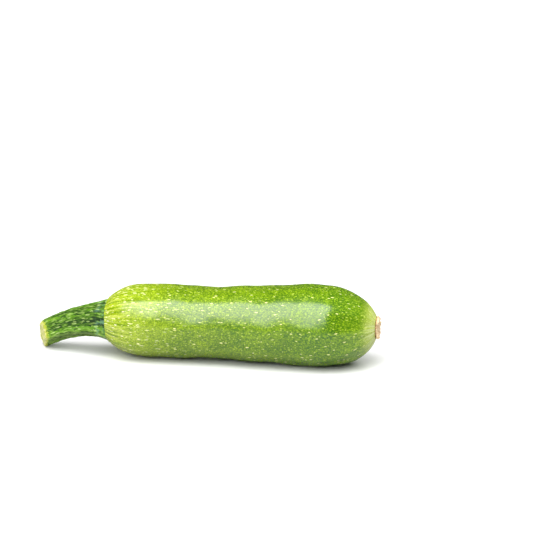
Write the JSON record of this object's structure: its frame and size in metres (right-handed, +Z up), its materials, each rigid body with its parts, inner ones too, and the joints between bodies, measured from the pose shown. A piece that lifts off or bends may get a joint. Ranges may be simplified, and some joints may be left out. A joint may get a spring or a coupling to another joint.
{
  "type": "zucchini",
  "caption": "Whole light green zucchini with its cut, ridged stem and dry blossom scar, lying on its side.",
  "frame": {"origin": "on the surface that the zucchini lies on, under the middle of its box", "axes": "+X along the fruit towards the blossom end, +Z up"},
  "size_m": [0.1946, 0.0454, 0.0444],
  "materials": {
    "skin": "waxy, softly glossy yellow-green skin with fine paler flecks",
    "stem": "ridged satin dark green, with a pale cut end",
    "dry_scar": "dry, matte, corky tan"
  },
  "bodies": {
    "root": {"fruit": "skin", "stem": "stem", "blossom_scar": "dry_scar"}
  },
  "joints": []
}
